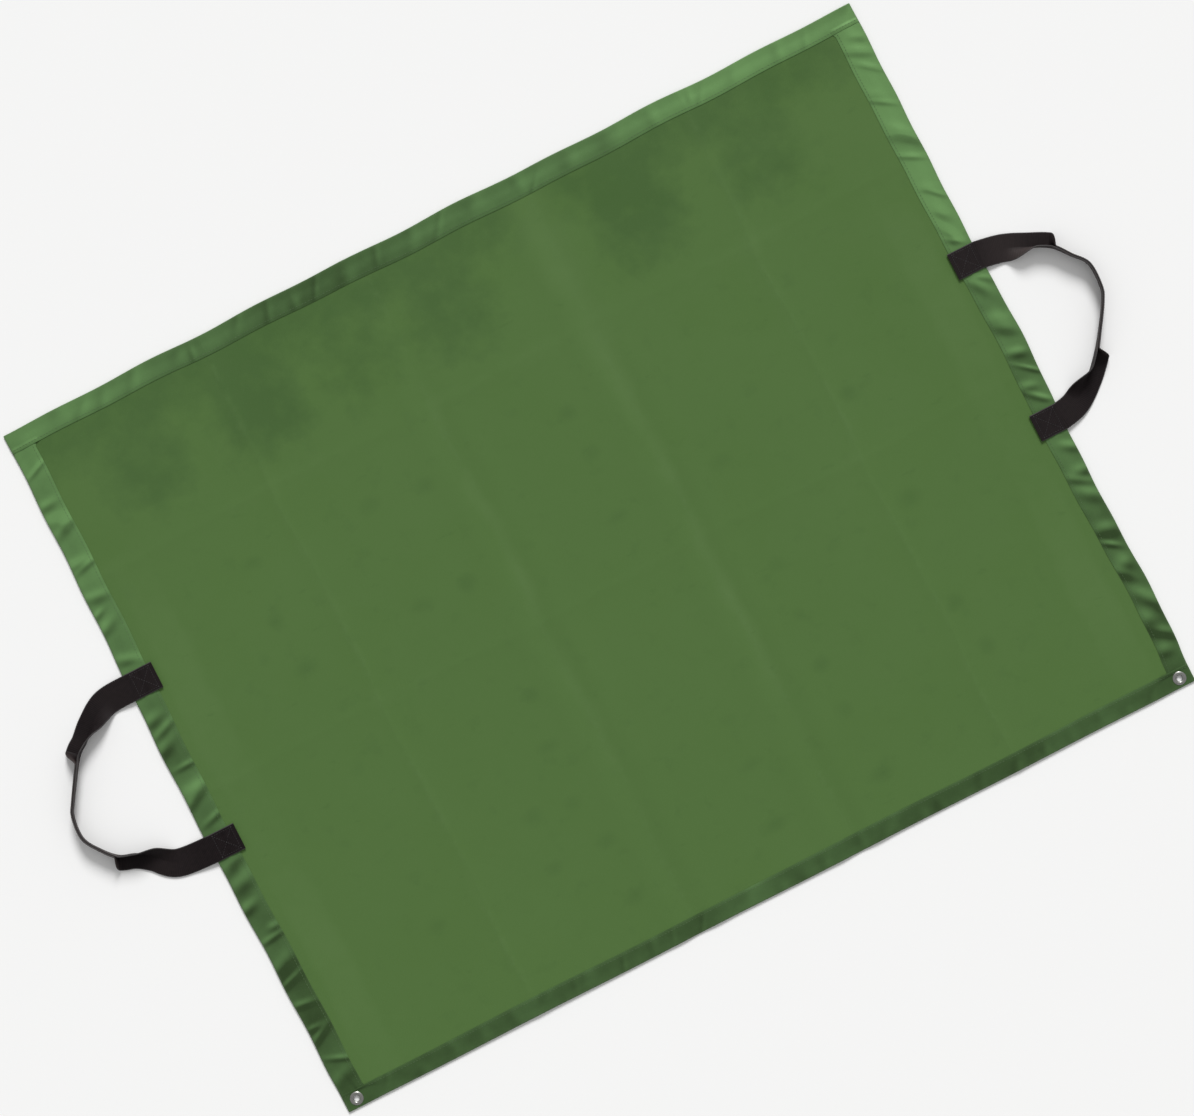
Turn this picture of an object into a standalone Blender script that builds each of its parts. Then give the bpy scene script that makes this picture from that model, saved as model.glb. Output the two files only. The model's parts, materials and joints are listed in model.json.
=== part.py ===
"""Folding stretcher: a two-layer carry sheet with a webbing handle on each end.

Metres, +Z up, X along the length from handle to handle, Y from the front edge (with
the eyelets) to the back edge. The sheet lies flat on z = 0 with its middle at x = y = 0.
Four creases run from front to back. The two wings fold in over the middle like a
concertina: the inner panels turn over, and the outer panels stay face up on top of them.
"""
import math

import bmesh
import bpy
from mathutils import Vector

# Overall sizes
SHEET_LENGTH = 1.000          # handle edge to handle edge
SHEET_WIDTH = 0.800           # front edge to back edge
CREASE_RIGHT = 0.105          # first crease to the right of the middle
CREASE_LEFT = 0.084           # first crease to the left of the middle
PANEL_RIGHT = 0.189           # inner right panel, crease to crease
PANEL_LEFT = 0.189            # inner left panel, crease to crease

# Layers, from the ground up
GAP = 0.0003                  # clearance between touching pieces
GROUND_THICKNESS = 0.0008
LINER_THICKNESS = 0.0007
HEM_THICKNESS = 0.0007
BACK_COVER = 0.0055           # how far each turned-over hem covers the liner's edge
FRONT_COVER = 0.004
SIDE_COVER = 0.0085

# Handles: 30 mm webbing, sewn down at both ends and folded in half along the grip
WEBBING_WIDTH = 0.030
WEBBING_THICKNESS = 0.0015
STRAP_END_LENGTH = 0.030
HANDLE_SPACING = 0.1905       # between the middles of a handle's two sewn ends
HANDLE_CENTRE_Y = 0.0075
DESCENT = 0.034               # how far out the webbing has come down to the ground
FOLD_IN_START = 0.20          # shares of an arm over which its inner half stands up
FOLD_IN_END = 0.80
SHOULDER_SHARE = 0.12         # the outer half closes on it this near a shoulder's point
GRIP_LEAN = math.radians(16)  # the folded grip leans outwards most at its middle
ROUTE_STEPS = 4               # sections between two route points

# Spine of each webbing loop, back arm first: (distance out from the sheet's edge,
# share of half the handle spacing), with the indexes of the two shoulders between
# which the webbing is folded
LEFT_ROUTE = [
    (0.0, 1.0), (0.0325, 0.98), (0.055, 0.835), (0.070, 0.69), (0.084, 0.565),
    (0.109, 0.18), (0.117, 0.02), (0.1185, -0.245), (0.107, -0.45), (0.093, -0.60),
    (0.076, -0.67), (0.061, -0.78), (0.041, -0.96), (0.0, -1.0),
]
LEFT_SHOULDERS = (4, 9)
RIGHT_ROUTE = [
    (0.0, 1.0), (0.026, 0.945), (0.050, 0.835), (0.072, 0.715),
    (0.0865, 0.54), (0.0995, 0.36), (0.100, 0.075), (0.094, -0.09), (0.077, -0.36),
    (0.064, -0.54), (0.0455, -0.75), (0.022, -0.94), (0.0, -1.0),
]
RIGHT_SHOULDERS = (3, 9)

# Eyelets in the two front corners: a flanged barrel, and a washer under it
EYELET_FROM_FRONT = 0.0098
EYELET_FROM_SIDE = 0.014
FLANGE_RADIUS = 0.00725
FLANGE_THICKNESS = 0.0005
BARREL_RADIUS = 0.0039
BORE_RADIUS = 0.0032
WASHER_THICKNESS = 0.0005
BARREL_LIFT = 0.0001          # the rolled foot of the barrel stays just off the ground
ROUND_STEPS = 32
WELD = 0.00001                # merging distance for caps and turned seams

# Derived margins. The liner stops short of the sheet's edges, so that the hem steps up
# over it just past the eyelet's flange.
HEM_STEP = EYELET_FROM_FRONT + FLANGE_RADIUS + GAP
LINER_MARGIN = HEM_STEP + HEM_THICKNESS + GAP
BACK_HEM = LINER_MARGIN + BACK_COVER
FRONT_HEM = LINER_MARGIN + FRONT_COVER
SIDE_HEM = LINER_MARGIN + SIDE_COVER

# Derived heights
LINER_BASE = GROUND_THICKNESS + GAP
HEM_LOW = LINER_BASE
HEM_HIGH = LINER_BASE + LINER_THICKNESS + GAP
HEM_TOP = HEM_HIGH + HEM_THICKNESS
STRAP_BASE = HEM_TOP + GAP
STRAP_TOP = STRAP_BASE + WEBBING_THICKNESS

# Fold axes. A wing's valley axis is high enough for the turned panel to lie slack on
# what it lands on, and its ridge axis is just under the ground sheet. A folded panel
# springs back a little from lying flat.
FOLD_SLACK = 0.0005
SPRING_BACK = math.radians(0.5)
RIDGE_AXIS_Z = -GAP / 2
VALLEY_RIGHT_Z = HEM_TOP + FOLD_SLACK
RIGHT_STACK_RISE = 2 * (VALLEY_RIGHT_Z - RIDGE_AXIS_Z) + PANEL_RIGHT * math.sin(SPRING_BACK)
VALLEY_LEFT_Z = (RIGHT_STACK_RISE + STRAP_TOP + HEM_TOP) / 2 + FOLD_SLACK
HANDLE_AXIS_Z = STRAP_TOP + GAP / 2

# Derived places along X
RIGHT_EDGE = SHEET_LENGTH / 2
LEFT_EDGE = -SHEET_LENGTH / 2
CREASES = {
    "outer_left": -CREASE_LEFT - PANEL_LEFT,
    "inner_left": -CREASE_LEFT,
    "inner_right": CREASE_RIGHT,
    "outer_right": CREASE_RIGHT + PANEL_RIGHT,
}
COLUMNS = {
    "outer_left": (LEFT_EDGE, CREASES["outer_left"] - GAP / 2),
    "inner_left": (CREASES["outer_left"] + GAP / 2, CREASES["inner_left"] - GAP / 2),
    "centre": (CREASES["inner_left"] + GAP / 2, CREASES["inner_right"] - GAP / 2),
    "inner_right": (CREASES["inner_right"] + GAP / 2, CREASES["outer_right"] - GAP / 2),
    "outer_right": (CREASES["outer_right"] + GAP / 2, RIGHT_EDGE),
}
FRONT_EDGE = -SHEET_WIDTH / 2
BACK_EDGE = SHEET_WIDTH / 2

# Directions in which the four hems run inwards, as turns about Z
INWARDS = {"left": 0.0, "right": math.pi, "front": math.pi / 2, "back": -math.pi / 2}


def clear_scene():
    for obj in list(bpy.data.objects):
        bpy.data.objects.remove(obj, do_unlink=True)


def new_collection(name):
    collection = bpy.data.collections.new(name)
    bpy.context.scene.collection.children.link(collection)
    return collection


def finish_material(name, colour, roughness, metallic):
    material = bpy.data.materials.new(name)
    material.use_nodes = True
    shader = material.node_tree.nodes["Principled BSDF"]
    shader.inputs["Base Color"].default_value = (*colour, 1.0)
    shader.inputs["Roughness"].default_value = roughness
    shader.inputs["Metallic"].default_value = metallic
    return material


def hinge_empty(name, position, parent=None):
    """An empty on a joint's axis. It remembers its world position for its children."""
    empty = bpy.data.objects.new(name, None)
    parts.objects.link(empty)
    empty["at"] = position
    if parent is not None:
        empty.parent = parent
    empty.location = Vector(position) - base_of(parent)
    return empty


def base_of(parent):
    return Vector(parent["at"]) if parent is not None else Vector()


def place(obj, name, material, position, hinge):
    """Name a part, give it its finish, and set it in the world under its hinge."""
    obj.name = name
    obj.data.name = name
    for collection in list(obj.users_collection):
        collection.objects.unlink(obj)
    parts.objects.link(obj)
    obj.data.materials.clear()
    obj.data.materials.append(material)
    obj.parent = hinge
    obj.location = Vector(position) - base_of(hinge)
    return obj


def slab(name, material, low, high, hinge):
    """A flat rectangular piece between two corners."""
    bpy.ops.mesh.primitive_cube_add(size=1)
    obj = bpy.context.object
    size = [b - a for a, b in zip(low, high)]
    for vertex in obj.data.vertices:
        vertex.co = [c * s for c, s in zip(vertex.co, size)]
    middle = [(a + b) / 2 for a, b in zip(low, high)]
    return place(obj, name, material, middle, hinge)


def hem_outline(width):
    """Section of a turned hem, as (distance in from the edge, height).

    It lies on the ground sheet beside the liner, steps up and covers the liner's edge.
    """
    riser = HEM_STEP + HEM_THICKNESS
    return [
        (0, HEM_LOW), (riser, HEM_LOW), (riser, HEM_HIGH), (width, HEM_HIGH),
        (width, HEM_TOP), (HEM_STEP, HEM_TOP),
        (HEM_STEP, HEM_LOW + HEM_THICKNESS), (0, HEM_LOW + HEM_THICKNESS),
    ]


def hem(name, side, width, length, middle, hinge):
    """A hem section drawn through its length. `middle` is on the sheet's edge."""
    curve = bpy.data.curves.new(name, "CURVE")
    curve.dimensions = "2D"
    curve.fill_mode = "BOTH"
    curve.extrude = length / 2
    outline = hem_outline(width)
    spline = curve.splines.new("POLY")
    spline.points.add(len(outline) - 1)
    for point, (inwards, height) in zip(spline.points, outline):
        point.co = (inwards, height, 0, 1)
    spline.use_cyclic_u = True
    bar = bpy.data.objects.new(name, curve)
    parts.objects.link(bar)
    obj = as_mesh(bar)
    obj.rotation_euler = (math.pi / 2, 0, INWARDS[side])
    return place(obj, name, SATIN, (*middle, 0), hinge)


def as_mesh(curve_object):
    """The mesh of a filled curve, with its caps welded on."""
    graph = bpy.context.evaluated_depsgraph_get()
    mesh = bpy.data.meshes.new_from_object(curve_object.evaluated_get(graph))
    shell = bmesh.new()
    shell.from_mesh(mesh)
    bmesh.ops.remove_doubles(shell, verts=shell.verts, dist=WELD)
    shell.to_mesh(mesh)
    shell.free()
    bpy.data.objects.remove(curve_object, do_unlink=True)
    return bpy.data.objects.new("mesh", mesh)


def turned_ring(name, profile, x, y, hinge):
    """A ring turned about a vertical axis at x, y from a closed (radius, height) profile."""
    mesh = bpy.data.meshes.new(name)
    edges = [(n, (n + 1) % len(profile)) for n in range(len(profile))]
    mesh.from_pydata([(radius, 0, height) for radius, height in profile], edges, [])
    obj = bpy.data.objects.new(name, mesh)
    screw = obj.modifiers.new("turn", "SCREW")
    screw.steps = ROUND_STEPS
    screw.render_steps = ROUND_STEPS
    screw.use_merge_vertices = True
    screw.merge_threshold = WELD
    return place(obj, name, METAL, (x, y, 0), hinge)


def punch(obj, radius, x, y):
    """Cut a round hole for an eyelet through a flat piece."""
    bpy.ops.mesh.primitive_cylinder_add(
        vertices=ROUND_STEPS, radius=radius, depth=4 * STRAP_TOP, location=(x, y, 0)
    )
    cutter = bpy.context.object
    cutter.name = "cutter_" + obj.name
    cutter.hide_render = True
    cutter.display_type = "WIRE"
    for collection in list(cutter.users_collection):
        collection.objects.unlink(cutter)
    cutters.objects.link(cutter)
    hole = obj.modifiers.new("eyelet hole", "BOOLEAN")
    hole.operation = "DIFFERENCE"
    hole.object = cutter


def smooth_ramp(value, start, end):
    share = min(1.0, max(0.0, (value - start) / (end - start)))
    return share * share * (3 - 2 * share)


def spline_point(route, position):
    """A point on the smooth curve through the route at a fractional index."""
    last = len(route) - 1
    index = min(int(position), last - 1)
    t = position - index
    before, here, there, after = (
        Vector(route[min(max(n, 0), last)]) for n in range(index - 1, index + 3)
    )
    return 0.5 * (
        2 * here
        + (there - before) * t
        + (2 * before - 5 * here + 4 * there - after) * t * t
        + (3 * here - 3 * there + after - before) * t * t * t
    )


def webbing_section(inner_angle, outer_angle):
    """Outline of the webbing across its run, as (outwards, up) from its spine.

    Both halves are hinged on a strip along the spine. An angle of 0 is flat outwards, a
    quarter turn is upright and a half turn is flat inwards.
    """
    t = WEBBING_THICKNESS
    root = t + GAP / 2
    half = WEBBING_WIDTH / 2 - root
    inner = Vector((math.cos(inner_angle), math.sin(inner_angle)))
    outer = Vector((math.cos(outer_angle), math.sin(outer_angle)))
    inner_face = Vector((inner.y, -inner.x))
    outer_face = Vector((-outer.y, outer.x))
    up = Vector((0, 1))
    inner_root = Vector((-root, 0))
    outer_root = Vector((root, 0))
    return [
        inner_root + half * inner,
        inner_root,
        outer_root,
        outer_root + half * outer,
        outer_root + half * outer + t * outer_face,
        outer_root + t * (outer_face + up) / (1 + outer_face.y),
        inner_root + t * (inner_face + up) / (1 + inner_face.y),
        inner_root + half * inner + t * inner_face,
    ]


def loop_stations(route, shoulders):
    """Spine points (out, along Y) with their positions in the route, in order.

    Each shoulder has a section just before it and just after it.
    """
    half = HANDLE_SPACING / 2
    scaled = [(out, share * half) for out, share in route]
    even = {n / ROUTE_STEPS for n in range((len(route) - 1) * ROUTE_STEPS + 1)}
    beside = {s + side * SHOULDER_SHARE for s in shoulders for side in (-1, 1)}
    return [(at, spline_point(scaled, at)) for at in sorted(even | beside)]


def carry_loop(name, side, route, shoulders, hinge):
    """The free part of a handle, drawn as one body along its route.

    The webbing leaves the sewn end flat and comes down to the ground. Its inner half
    stands up along the arm, and its outer half closes on it at the shoulder to make the
    grip.
    """
    stations = loop_stations(route, shoulders)
    first, last = shoulders
    out = 1 if side == "right" else -1
    verts = []
    for index, (at, point) in enumerate(stations):
        if index == 0:
            tangent = Vector((1, 0))
        elif index == len(stations) - 1:
            tangent = Vector((-1, 0))
        else:
            tangent = (stations[index + 1][1] - stations[index - 1][1]).normalized()
        outwards = Vector((-tangent.y, tangent.x))
        arm = max((first - at) / first, (at - last) / (len(route) - 1 - last), 0.0)
        stood_up = smooth_ramp(1 - arm, FOLD_IN_START, FOLD_IN_END)
        closed = smooth_ramp(min(at - first, last - at), -SHOULDER_SHARE, SHOULDER_SHARE)
        grip = min(1.0, max(0.0, (at - first) / (last - first)))
        upright = math.pi / 2 - GRIP_LEAN * math.sin(math.pi * grip)
        inner_angle = math.pi + (upright - math.pi) * stood_up
        height = STRAP_BASE * (1 - smooth_ramp(point.x, 0, DESCENT)) - HANDLE_AXIS_Z
        for across, up in webbing_section(inner_angle, upright * closed):
            flat = point + across * outwards
            verts.append((out * (flat.x + GAP / 2), flat.y, height + up))
    edge = RIGHT_EDGE if side == "right" else LEFT_EDGE
    origin = (edge, HANDLE_CENTRE_Y, HANDLE_AXIS_Z)
    obj = bpy.data.objects.new(name, loft(name, verts, len(stations)))
    return place(obj, name, WEBBING, origin, hinge)


def loft(name, verts, rings):
    """One closed mesh through rings of the same number of points."""
    size = len(verts) // rings
    faces = [tuple(range(size)), tuple(range(len(verts) - size, len(verts)))]
    for ring in range(rings - 1):
        for n in range(size):
            a = ring * size + n
            b = ring * size + (n + 1) % size
            faces.append((a, b, b + size, a + size))
    mesh = bpy.data.meshes.new(name)
    mesh.from_pydata(verts, [], faces)
    shell = bmesh.new()
    shell.from_mesh(mesh)
    bmesh.ops.triangulate(shell, faces=shell.faces)
    bmesh.ops.recalc_face_normals(shell, faces=shell.faces)
    shell.to_mesh(mesh)
    shell.free()
    return mesh


clear_scene()
parts = new_collection("folding_stretcher")
cutters = new_collection("cutters")

SATIN = finish_material("satin_cloth", (0.112, 0.216, 0.078), 0.45, 0.0)
MATTE = finish_material("matte_liner_cloth", (0.089, 0.162, 0.050), 0.85, 0.0)
WEBBING = finish_material("black_webbing", (0.014, 0.010, 0.011), 0.80, 0.0)
METAL = finish_material("eyelet_metal", (0.50, 0.50, 0.48), 0.35, 1.0)

# One empty on each fold and handle axis, from the middle panel outwards
right_fold = hinge_empty("right_fold", (CREASES["inner_right"], 0, VALLEY_RIGHT_Z))
left_fold = hinge_empty("left_fold", (CREASES["inner_left"], 0, VALLEY_LEFT_Z))
right_ridge = hinge_empty(
    "right_ridge", (CREASES["outer_right"], 0, RIDGE_AXIS_Z), right_fold
)
left_ridge = hinge_empty("left_ridge", (CREASES["outer_left"], 0, RIDGE_AXIS_Z), left_fold)
right_handle = hinge_empty(
    "right_handle", (RIGHT_EDGE, HANDLE_CENTRE_Y, HANDLE_AXIS_Z), right_ridge
)
left_handle = hinge_empty(
    "left_handle", (LEFT_EDGE, HANDLE_CENTRE_Y, HANDLE_AXIS_Z), left_ridge
)
COLUMN_HINGES = {
    "outer_left": left_ridge,
    "inner_left": left_fold,
    "centre": None,
    "inner_right": right_fold,
    "outer_right": right_ridge,
}

# The two cloth layers and the long hems, a panel at a time between creases
eyelets = {
    "outer_left": LEFT_EDGE + EYELET_FROM_SIDE,
    "outer_right": RIGHT_EDGE - EYELET_FROM_SIDE,
}
eyelet_y = FRONT_EDGE + EYELET_FROM_FRONT
for column, (left, right) in COLUMNS.items():
    hinge = COLUMN_HINGES[column]
    ground = slab(
        "ground_sheet_" + column,
        SATIN,
        (left, FRONT_EDGE, 0),
        (right, BACK_EDGE, GROUND_THICKNESS),
        hinge,
    )
    liner_left = max(left, LEFT_EDGE + LINER_MARGIN)
    liner_right = min(right, RIGHT_EDGE - LINER_MARGIN)
    slab(
        "liner_" + column,
        MATTE,
        (liner_left, FRONT_EDGE + LINER_MARGIN, LINER_BASE),
        (liner_right, BACK_EDGE - LINER_MARGIN, LINER_BASE + LINER_THICKNESS),
        hinge,
    )
    middle = (left + right) / 2
    length = right - left
    hem("back_hem_" + column, "back", BACK_HEM, length, (middle, BACK_EDGE), hinge)
    front = hem(
        "front_hem_" + column, "front", FRONT_HEM, length, (middle, FRONT_EDGE), hinge
    )
    if column in eyelets:
        punch(ground, FLANGE_RADIUS + GAP, eyelets[column], eyelet_y)
        punch(front, BARREL_RADIUS + GAP, eyelets[column], eyelet_y)

# Side hems, between the back hem and the front hem
side_hem_front = FRONT_EDGE + FRONT_HEM + GAP
side_hem_back = BACK_EDGE - BACK_HEM - GAP
for side, edge, hinge in (
    ("left", LEFT_EDGE, left_ridge),
    ("right", RIGHT_EDGE, right_ridge),
):
    length = side_hem_back - side_hem_front
    middle = (edge, (side_hem_front + side_hem_back) / 2)
    hem("side_hem_" + side, side, SIDE_HEM, length, middle, hinge)

# Sewn ends of the handle webbing, on the side hems
for side, inwards, edge, hinge in (
    ("left", 1, LEFT_EDGE, left_ridge),
    ("right", -1, RIGHT_EDGE, right_ridge),
):
    for end, along in (("back", 1), ("front", -1)):
        y = HANDLE_CENTRE_Y + along * HANDLE_SPACING / 2
        across = sorted((edge + inwards * GAP / 2, edge + inwards * STRAP_END_LENGTH))
        slab(
            "strap_end_" + side + "_" + end,
            WEBBING,
            (across[0], y - WEBBING_WIDTH / 2, STRAP_BASE),
            (across[1], y + WEBBING_WIDTH / 2, STRAP_TOP),
            hinge,
        )

carry_loop("carry_loop_left", "left", LEFT_ROUTE, LEFT_SHOULDERS, left_handle)
carry_loop("carry_loop_right", "right", RIGHT_ROUTE, RIGHT_SHOULDERS, right_handle)

# Eyelets: the flange sits on the front hem, and the washer fills a hole in the ground
# sheet under it
flange_base = HEM_LOW + HEM_THICKNESS + GAP
flange_top = flange_base + FLANGE_THICKNESS
barrel_profile = [
    (FLANGE_RADIUS, flange_top),
    (FLANGE_RADIUS, flange_base),
    (BARREL_RADIUS, flange_base),
    (BARREL_RADIUS, BARREL_LIFT),
    (BORE_RADIUS, BARREL_LIFT),
    (BORE_RADIUS, flange_top),
]
washer_profile = [
    (FLANGE_RADIUS, WASHER_THICKNESS),
    (FLANGE_RADIUS, 0),
    (BARREL_RADIUS + GAP, 0),
    (BARREL_RADIUS + GAP, WASHER_THICKNESS),
]
for side, column in (("left", "outer_left"), ("right", "outer_right")):
    hinge = COLUMN_HINGES[column]
    turned_ring("eyelet_" + side, barrel_profile, eyelets[column], eyelet_y, hinge)
    turned_ring("eyelet_washer_" + side, washer_profile, eyelets[column], eyelet_y, hinge)
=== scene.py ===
import json
import math

import bmesh
import bpy
import numpy as np
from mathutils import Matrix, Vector

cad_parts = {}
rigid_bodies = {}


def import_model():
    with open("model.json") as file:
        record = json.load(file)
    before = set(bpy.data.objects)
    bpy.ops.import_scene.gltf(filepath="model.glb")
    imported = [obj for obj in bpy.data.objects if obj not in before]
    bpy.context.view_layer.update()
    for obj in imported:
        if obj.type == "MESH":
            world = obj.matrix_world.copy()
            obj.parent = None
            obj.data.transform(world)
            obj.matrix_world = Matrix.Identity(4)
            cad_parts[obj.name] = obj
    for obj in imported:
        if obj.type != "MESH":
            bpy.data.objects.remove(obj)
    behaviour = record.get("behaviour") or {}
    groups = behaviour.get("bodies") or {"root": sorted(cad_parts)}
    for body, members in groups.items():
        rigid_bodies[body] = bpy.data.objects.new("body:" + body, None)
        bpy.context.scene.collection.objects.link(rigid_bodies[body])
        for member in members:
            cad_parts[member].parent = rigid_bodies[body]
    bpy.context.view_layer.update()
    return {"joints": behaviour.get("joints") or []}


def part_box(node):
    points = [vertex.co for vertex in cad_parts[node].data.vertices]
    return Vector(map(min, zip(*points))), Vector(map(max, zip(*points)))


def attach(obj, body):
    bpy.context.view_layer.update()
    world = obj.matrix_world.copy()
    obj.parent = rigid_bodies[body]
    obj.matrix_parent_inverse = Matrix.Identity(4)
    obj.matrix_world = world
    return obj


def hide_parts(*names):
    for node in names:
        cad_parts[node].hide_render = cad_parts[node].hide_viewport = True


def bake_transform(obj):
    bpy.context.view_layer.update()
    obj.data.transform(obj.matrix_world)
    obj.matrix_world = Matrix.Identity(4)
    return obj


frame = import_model()


# ------------------------------------------------------ studio
# A pale floor for the sheet to lie on, an even pale sky of light, a broad soft sun from
# behind the sheet's back right corner, and a camera high above its middle.
FLOOR_HALF = 12.0
FLOOR_DROP = 0.0005
FLOOR_COLOUR = (0.93, 0.93, 0.925, 1)
WHITE = (1, 1, 1, 1)
SKY_STRENGTH = 0.46
SKY_SEEN = 0.905
SUN_FROM = (0.42, 0.80, 0.62)
SUN_SPREAD = math.radians(22)
SUN_STRENGTH = 2.9
LENS = 85.0
SENSOR = 36.0
VIEW_WIDTH = 1.257
VIEW_SHIFT = 0.0026
SHEET_TURN = math.radians(27.05)


def fill(tree, made, sockets):
    """Give a node's sockets their values, or join them to other nodes' outputs."""
    for name, value in sockets.items():
        if isinstance(value, bpy.types.NodeSocket):
            tree.links.new(value, made.inputs[name])
        else:
            made.inputs[name].default_value = value


def add_node(tree, kind, sockets, **settings):
    """A new node with its settings and sockets."""
    made = tree.nodes.new(kind)
    for name, value in settings.items():
        setattr(made, name, value)
    fill(tree, made, sockets)
    return made


def new_object(name, data):
    made = bpy.data.objects.new(name, data)
    bpy.context.scene.collection.objects.link(made)
    return made


def new_finish(name):
    """A material with its Principled shader, returned with its tree."""
    material = bpy.data.materials.new(name)
    material.use_nodes = True
    return material, material.node_tree, material.node_tree.nodes["Principled BSDF"]


floor_finish, tree, shader = new_finish("studio_floor")
fill(tree, shader, {"Base Color": FLOOR_COLOUR, "Roughness": 0.9, "Specular IOR Level": 0.1})
bpy.ops.mesh.primitive_plane_add(size=2 * FLOOR_HALF, location=(0, 0, -FLOOR_DROP))
floor = bpy.context.object
floor.name = "floor"
floor.data.materials.append(floor_finish)

sky = bpy.data.worlds.new("studio_sky")
sky.use_nodes = True
sky_tree = sky.node_tree
lit_by = sky_tree.nodes["Background"]
fill(sky_tree, lit_by, {"Color": WHITE, "Strength": SKY_STRENGTH})
seen = add_node(sky_tree, "ShaderNodeBackground", {"Color": WHITE, "Strength": SKY_SEEN})
straight = add_node(sky_tree, "ShaderNodeLightPath", {}).outputs["Is Camera Ray"]
skies = {0: straight, 1: lit_by.outputs[0], 2: seen.outputs[0]}
sky_mix = add_node(sky_tree, "ShaderNodeMixShader", skies).outputs[0]
fill(sky_tree, sky_tree.nodes["World Output"], {"Surface": sky_mix})
bpy.context.scene.world = sky

sun = bpy.data.lights.new("soft_sun", "SUN")
sun.angle = SUN_SPREAD
sun.energy = SUN_STRENGTH
sun_holder = new_object("soft_sun", sun)
sun_holder.rotation_euler = Vector(SUN_FROM).to_track_quat("Z", "Y").to_euler()

camera_data = bpy.data.cameras.new("camera")
camera_data.lens = LENS
camera_data.sensor_width = SENSOR
camera = new_object("camera", camera_data)
camera.location = (
    -VIEW_SHIFT * math.cos(SHEET_TURN),
    VIEW_SHIFT * math.sin(SHEET_TURN),
    VIEW_WIDTH * LENS / SENSOR,
)
camera.rotation_euler = (0, 0, -SHEET_TURN)
bpy.context.scene.camera = camera
bpy.context.scene.view_settings.view_transform = "Standard"


# ------------------------------------------------ ground sheet
# The bottom cloth, a coated nylon with a satin outer face, cut in one piece. It turns up
# round its edges into the hems. It is made here in four lengths that meet midway between
# the creases, so that each length holds one crease.
CLOTH = 0.0008  # thickness of the satin cloth
TURN = 0.0009  # outside radius of the turned edge
TURN_STEPS = 6
BENDS = {  # how far a fold reaches on the near and on the far side of its crease
    "fold_left_outer": (0.004, 0.004),
    "fold_left": (0.005, 0.009),
    "fold_right": (0.003, 0.005),
    "fold_right_outer": (0.004, 0.004),
}
PRESSED_FROM = 0.002  # an eyelet holds the cloth down out to here from its flange
PRESSED_TO = 0.035
WAVE_SEED = 11
WAVE_COUNT = 5
WAVE_HEIGHT = 0.00009
WAVE_LENGTHS = (0.16, 0.42)
RIDGE_HEIGHT = 0.0006
RIDGE_WIDTH = 0.009
VALLEY_WIDTH = 0.013
SHOULDER_HEIGHT = 0.0004
ROW_CREASES = (0.222, -0.031)  # the faint creases of the fold the other way
ROW_HEIGHT = 0.00022
ROW_WIDTH = 0.006
BOW_FADE = 0.09
HOLE_CLEAR = 0.0001  # a punched hole's gap round what fills it
PUNCH_DEPTH = 0.02
CLOTH_STEP = 0.005  # spacing of a cloth's points along and across
ROW_STEP = 0.0055
ROW_FINE_STEP = 0.002  # their spacing at a faint row, and the row's reach
ROW_REACH = 0.008
CREASE_STEP = 0.0008  # and at a crease
CREASE_REACH = 0.012
EDGE_WEAR = 0.0028  # how far in the turned edge is rubbed
# The ground sheet's painted sheen: one level between the satin's shaded and lit colours.
GROUND_PAINTED_SHEEN = 0.55
CLOTH_SHARP = math.radians(50)  # edges sharper than this show as corners
HOLE_SIDES = 48

low_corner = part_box("ground_sheet_outer_left")[0]
high_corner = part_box("ground_sheet_outer_right")[1]
LEFT = low_corner.x
FRONT = low_corner.y
RIGHT = high_corner.x
BACK = high_corner.y
CREASE_X = {j["name"]: j["pos_m"][0] for j in frame["joints"]}
RIDGES = (CREASE_X["fold_left_outer"], CREASE_X["fold_right_outer"])
VALLEYS = (CREASE_X["fold_left"], CREASE_X["fold_right"])
EYELETS = [(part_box(n)[0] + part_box(n)[1]) / 2 for n in ("eyelet_left", "eyelet_right")]
FLANGE = (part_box("eyelet_left")[1].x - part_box("eyelet_left")[0].x) / 2


class Length:
    """A length of the sheet with one crease, and the two CAD panels that it covers."""

    def __init__(self, name, low, high, joint, nearer, further):
        self.name = name
        self.low = low
        self.high = high
        self.crease = CREASE_X[joint]
        self.nearer = nearer
        self.further = further
        outwards = math.copysign(1, self.crease)
        before, after = BENDS[joint]
        self.start = self.crease - outwards * before
        self.end = self.crease + outwards * after
        found = [j for j in frame["joints"] if j["name"] == joint][0]
        self.bodies = (found["parent"], found["child"])

    def bend(self, piece, slot, kind=None):
        """Bake a piece's place into its mesh. With a kind, it stands for both panels of that kind,
        which are hidden.
        """
        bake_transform(piece)
        if kind:
            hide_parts(kind + "_" + self.nearer, kind + "_" + self.further)


left_split = (CREASE_X["fold_left_outer"] + CREASE_X["fold_left"]) / 2
middle_split = (CREASE_X["fold_left"] + CREASE_X["fold_right"]) / 2
right_split = (CREASE_X["fold_right"] + CREASE_X["fold_right_outer"]) / 2
LENGTHS = [
    Length("left_end", LEFT, left_split, "fold_left_outer", "inner_left", "outer_left"),
    Length("left_middle", left_split, middle_split, "fold_left", "centre", "inner_left"),
    Length("right_middle", middle_split, right_split, "fold_right", "centre", "inner_right"),
    Length("right_end", right_split, RIGHT, "fold_right_outer", "inner_right", "outer_right"),
]


def ramp(value, start, end):
    """0 before start, 1 after end, smooth between. It works either way round."""
    share = np.clip((value - start) / (end - start), 0, 1)
    return share * share * (3 - 2 * share)


def hump(value, middle, width):
    return np.exp(-(((value - middle) / width) ** 2))


def pressed(x, y):
    """0 at the eyelets, which clamp the cloth flat, and 1 away from them."""
    free = np.ones(np.shape(x))
    for eyelet in EYELETS:
        away = np.hypot(x - eyelet.x, y - eyelet.y)
        free = free * ramp(away, FLANGE + PRESSED_FROM, FLANGE + PRESSED_TO)
    return free


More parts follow.
